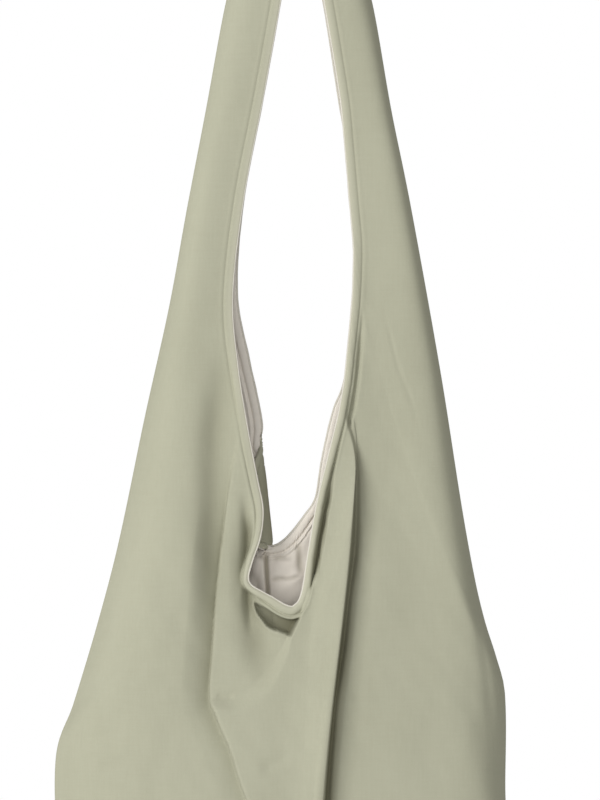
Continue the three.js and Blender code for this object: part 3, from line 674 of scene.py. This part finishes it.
def lining_rows(sheet, seed, unfolded=None):
    """Down behind the canvas's edge, round the lip, and along the inside to the seam. A
    little way from the rim the front's lining leaves the folds and hangs smooth."""
    out, rim = sheet["out"], sheet["points"][0]
    rng = np.random.default_rng(seed)
    s, d, at, to_seam = sheet["length"], sheet["from_rim"], sheet["at"], sheet["to_seam"]
    wavy = sines(rng, s, 6, 0.008, 0.04) / 6
    radius = (lip_radius * (1 + 0.2 * wavy))[None, :, None]
    centre = rim + sheet["square"] * lip_reach - out[0] * lip_back
    turn = np.radians(np.arange(-150, 151, 30))[::-1, None, None]
    lip = centre + sheet["square"] * radius * np.cos(turn) + out[0] * radius * np.sin(turn)
    pucker = sines(rng, s + 0.5 * d, 7, 0.003, 0.008, True) / 3
    inset = wall + 0.0009 * hem_band(d) + 0.0003 * pucker * bell(d - 0.0085, 0.003)
    for place, height, width in lining_hem:
        inset = inset + 0.001 * height * bell(1000 * d - place, width)
    x, _, z = np.moveaxis(1000 * sheet["points"], -1, 0)
    crumple = swell(seed + 1, x / 45, z / 30) + 0.6 * swell(seed + 2, x / 20, z / 17)
    inset = inset + 0.0006 * crumple * blend(0.012, 0.03, d) * blend(0.004, 0.03, to_seam)
    inset = inset * np.where(to_seam < 0.004, 0.8, 1)
    painted_fold_shade = np.zeros(inset.shape)
    if unfolded is None:
        near = (abs(x) < 90) & (z < -600) & (z > -790)
        x, z, off_rim = x[near], z[near], d[near]
        slack = bell(x + 28, 34) * bell(z + 690, 42) * blend(0.011, 0.018, off_rim)
        inset[near] += slack_depth * slack
        for width, depth, pairs in lining_creases:
            gap, share = near_line(smooth_line(pairs), x, z)
            crease = bell(gap, width) * blend(0, 0.25, share) * blend(1, 0.75, share)
            inset[near] -= 0.001 * depth * crease
            # painted shade in the lining's creases
            shade = min(0.8, 0.25 * depth) * crease * blend(0.006, 0.011, off_rim)
            painted_fold_shade[near] = np.maximum(painted_fold_shade[near], shade)
        gap, share = near_line(smooth_line(lining_creases[0][2]), x, z)
        beside = blend(0, -2.5, gap) * bell(gap, 13)
        inset[near] += pleat_depth * beside * blend(0, 0.2, share) * blend(1, 0.7, share)
        inset = np.maximum(inset, least_gap)
    inside = sheet["points"] - out * inset[..., None]
    if unfolded is not None:
        plain = unfolded["points"] - unfolded["out"] * wall
        plain[..., 1] *= 0.55 - 0.3 * bell(at - 61.5, 3.5)
        pouch = blend(30, 36, at) * blend(77, 70, at)
        tight = bell(at - 58.2, 2.2)
        leave = (blend(0.010 - 0.0065 * tight, 0.032 - 0.019 * tight, d) * pouch)[..., None]
        inside = inside * (1 - leave) + plain * leave
    behind = (inside[..., 1] * sheet["side"] > -seam_gap) & (to_seam < 0.03)
    inside[..., 1] = np.where(behind, -seam_gap * sheet["side"], inside[..., 1])
    # the lip gets a darker tone than the rest of the same cotton: painted shade, which keeps it
    # from looking too bright in the lamps' light
    on_lip = np.concatenate([np.ones(lip.shape[:2]), 0 * d[1:]])
    painted_fold_shade = np.concatenate([np.zeros(lip.shape[:2]), painted_fold_shade[1:]])
    return np.concatenate([lip, inside[1:]]), [("worn", on_lip), ("painted_fold_shade", painted_fold_shade)]


# the third colour is the lip's painted shade
lining = cloth_material("pale_cotton", (0.67, 0.627, 0.56), (0.735, 0.69, 0.622),
                        (0.50, 0.48, 0.42), 0.0003, 0.25, 0.1)
smooth_front = front_point(front_sheet["at"] + 0 * front_sheet["v"], front_sheet["v"], False)
smooth_front = {"points": smooth_front, "out": facing(smooth_front, 1)}
rows, marks = lining_rows(front_sheet, 31, smooth_front)
front_cotton = grid_mesh("front_cotton", rows, False, marks)
rows, marks = lining_rows(back_sheet, 41)
back_cotton = grid_mesh("back_cotton", rows, True, marks)
for piece, node in ((front_cotton, "front_lining"), (back_cotton, "back_lining")):
    piece.data.materials.append(lining)
    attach(piece, "root")
    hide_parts(node)


# The topstitches, rows of short cotton threads about 7 mm from the edge of the opening.
# They lie sunk in the groove on the canvas, and show again on the back's lining.
stitch_pitch, stitch_length, stitch_radius = 0.0031, 0.0023, 0.00024


def stitches(name, line, out, material):
    """Threads along a closed line of points, each a tube on that line, so half sunk in the
    cloth, which narrows to a quarter of its width at its two open ends."""
    step = np.linalg.norm(np.roll(line, -1, 0) - line, axis=-1)
    length = np.concatenate([[0], np.cumsum(step)])
    count = int(length[-1] / stitch_pitch)
    start = np.arange(count) * length[-1] / count

    def on(values, s):
        closed = np.vstack([values, values[:1]])
        return np.stack([np.interp(s, length, closed[:, k]) for k in range(3)], -1)

    share = np.array([0, 0.12, 0.35, 0.65, 0.88, 1])
    swelling = np.array([0.25, 0.8, 1, 1, 0.8, 0.25])
    s = start[:, None] + share * stitch_length
    middle, up = on(line, s), on(out, s)
    up /= np.linalg.norm(up, axis=-1, keepdims=True)
    forward = np.gradient(middle, axis=1)
    forward /= np.linalg.norm(forward, axis=-1, keepdims=True)
    across = np.cross(forward, up)
    sides = 6
    turn = np.arange(sides) * 2 * np.pi / sides
    radius = (stitch_radius * swelling)[None, :, None, None]
    ring = middle[:, :, None] + radius * (across[:, :, None] * np.cos(turn)[:, None]
                                          + up[:, :, None] * np.sin(turn)[:, None])
    around, along_it = sides, len(share)
    j, k = np.meshgrid(np.arange(along_it - 1), np.arange(around), indexing="ij")
    quad = np.stack([j * around + k, j * around + (k + 1) % around,
                     (j + 1) * around + (k + 1) % around, (j + 1) * around + k], -1).reshape(-1, 4)
    quads = (quad[None] + (np.arange(count) * around * along_it)[:, None, None]).reshape(-1, 4)
    mesh = bpy.data.meshes.new(name)
    mesh.from_pydata(ring.reshape(-1, 3).tolist(), [], quads.tolist())
    mesh.polygons.foreach_set("use_smooth", np.ones(len(mesh.polygons), bool))
    mesh.update()
    obj = bpy.data.objects.new(name, mesh)
    bpy.context.scene.collection.objects.link(obj)
    obj.data.materials.append(material)
    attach(obj, "root")
    return obj


def thread_material(name, colour):
    """Cotton thread: a fine twist as bump and a little change of tone along it."""
    material = bpy.data.materials.new(name)
    nodes, links, main = shader(material)
    where = nodes.new("ShaderNodeTexCoord")
    texture = nodes.new("ShaderNodeTexNoise")
    texture.inputs["Scale"].default_value = 900
    links.new(where.outputs["Object"], texture.inputs["Vector"])
    ramp = nodes.new("ShaderNodeValToRGB")
    ramp.color_ramp.elements[0].color = (*[c * 0.8 for c in colour], 1)
    ramp.color_ramp.elements[1].color = (*colour, 1)
    links.new(texture.outputs["Fac"], ramp.inputs["Fac"])
    links.new(ramp.outputs["Color"], main.inputs["Base Color"])
    dent = nodes.new("ShaderNodeBump")
    dent.inputs["Strength"].default_value = 0.4
    dent.inputs["Distance"].default_value = 0.0001
    links.new(texture.outputs["Fac"], dent.inputs["Height"])
    links.new(dent.outputs["Normal"], main.inputs["Normal"])
    main.inputs["Roughness"].default_value = 0.7
    return material


thread = thread_material("sage_thread", (0.42, 0.41, 0.31))
pale_thread = thread_material("cream_thread", (0.66, 0.60, 0.52))
groove = int(np.argmin(abs(hem_rows - hem_width)))
front_line, front_out = front_sheet["points"][groove], front_sheet["out"][groove]
back_line, back_out = back_sheet["points"][groove], back_sheet["out"][groove]
front_stitches = stitches("front_topstitch", front_line - front_out * groove_depth,
                          front_out, thread)
back_stitches = stitches("back_topstitch", back_line - back_out * groove_depth,
                         back_out, thread)
inner_line = back_line - back_out * (wall - lining_thickness)
inner_stitches = stitches("back_lining_topstitch", inner_line, -back_out, pale_thread)


# The studio: a plain pale floor below the bag, white all round, a soft lamp from the left
# at the height of the strap, and a weaker one from the front.
def lamp(name, place, target, size, power):
    """A square area lamp at a place, turned to a target."""
    data = bpy.data.lights.new(name, "AREA")
    data.shape, data.size, data.energy = "SQUARE", size, power
    obj = bpy.data.objects.new(name, data)
    bpy.context.scene.collection.objects.link(obj)
    obj.location = place
    away = np.array(place) - np.array(target)
    flat = np.hypot(away[0], away[1])
    obj.rotation_euler = (np.arctan2(flat, away[2]), 0, np.arctan2(away[0], -away[1]))
    return obj


half, level = 2, -1.32
corners = [(-half, -half, level), (half, -half, level), (half, half, level), (-half, half, level)]
floor_mesh = bpy.data.meshes.new("floor")
floor_mesh.from_pydata(corners, [], [(0, 1, 2, 3)])
floor = bpy.data.objects.new("floor", floor_mesh)
bpy.context.scene.collection.objects.link(floor)
floor_paint = bpy.data.materials.new("pale_floor")
_, _, paint = shader(floor_paint)
paint.inputs["Base Color"].default_value = (0.82, 0.82, 0.80, 1)
paint.inputs["Roughness"].default_value = 0.9
floor.data.materials.append(floor_paint)

middle = (0, 0, -0.55)
lamp("soft_key", (-2.0, -2.1, -0.1), middle, 1.3, 70)
lamp("soft_front", (0.3, -3.0, -0.2), middle, 1.2, 26)

# The background looks white, and lights the bag with less than half of that.
lit, looks = 0.42, 1.0
world = bpy.data.worlds.new("white_studio")
bpy.context.scene.world = world
world.use_nodes = True
nodes, links = world.node_tree.nodes, world.node_tree.links
seen = nodes.new("ShaderNodeLightPath")
brightness = nodes.new("ShaderNodeMapRange")
brightness.inputs["To Min"].default_value = lit
brightness.inputs["To Max"].default_value = looks
links.new(seen.outputs["Is Camera Ray"], brightness.inputs["Value"])
links.new(brightness.outputs["Result"], nodes["Background"].inputs["Strength"])
nodes["Background"].inputs["Color"].default_value = (1, 1, 1, 1)
bpy.context.scene.view_settings.view_transform = "Standard"

camera_data = bpy.data.cameras.new("camera")
camera_data.lens, camera_data.sensor_width = 125.0, 36.0
camera = bpy.data.objects.new("camera", camera_data)
camera.location = (0, -2.6, -0.514)
camera.rotation_euler = (np.pi / 2, 0, 0)
bpy.context.scene.collection.objects.link(camera)
bpy.context.scene.camera = camera
